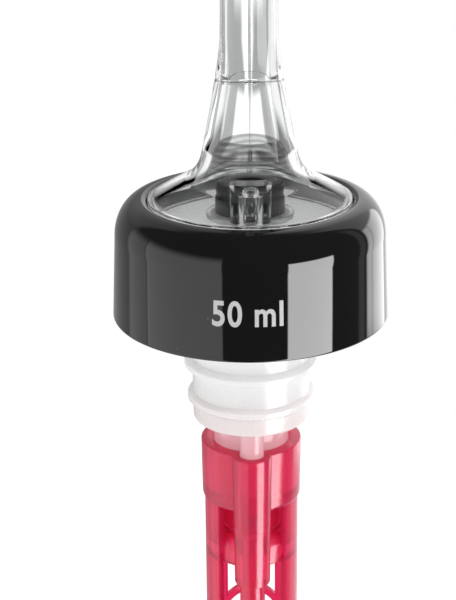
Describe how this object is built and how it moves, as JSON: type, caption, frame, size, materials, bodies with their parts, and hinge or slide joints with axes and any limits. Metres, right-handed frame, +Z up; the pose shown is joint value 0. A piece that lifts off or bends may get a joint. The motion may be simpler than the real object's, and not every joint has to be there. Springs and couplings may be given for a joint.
{
  "type": "measured bottle pourer",
  "caption": "Bottle pourer with a clear spout, black collar, finned stopper and red timing tail whose loose balls shut the flow after one measure.",
  "frame": {"origin": "middle of the flat seat under the stopper's flange, where the bottle's lip rests", "axes": "+Z up the spout, away from the bottle; -Y towards the breather tube and the printed front"},
  "size_m": [0.0426, 0.0424, 0.1525],
  "materials": {
    "clear_plastic": "clear, polished",
    "black_plastic": "high gloss",
    "stopper_plastic": "satin, translucent",
    "cage_plastic": "satin",
    "steel": "polished",
    "red_plastic": "translucent, satin gloss"
  },
  "bodies": {
    "pourer": {"spout": "clear_plastic", "collar": "black_plastic", "cork": "stopper_plastic", "stem": "clear_plastic", "ball_cage": "cage_plastic", "breather_tube": "clear_plastic", "tail": "red_plastic", "tail_plug": "red_plastic"},
    "spout_ball": {"spout_ball": "steel"},
    "breather_ball": {"breather_ball": "steel"},
    "metering_ball": {"metering_ball": "steel"}
  },
  "joints": [
    {"name": "spout_ball_lift", "type": "slide", "parent": "pourer", "child": "spout_ball", "axis": [0, 0, 1], "range_m": [0, 0.0012]},
    {"name": "breather_ball_lift", "type": "slide", "parent": "pourer", "child": "breather_ball", "axis": [0, 0, 1], "range_m": [0, 0.0041]},
    {"name": "metering_ball_lift", "type": "slide", "parent": "pourer", "child": "metering_ball", "axis": [0, 0, 1], "range_m": [0, 0.0274]}
  ]
}
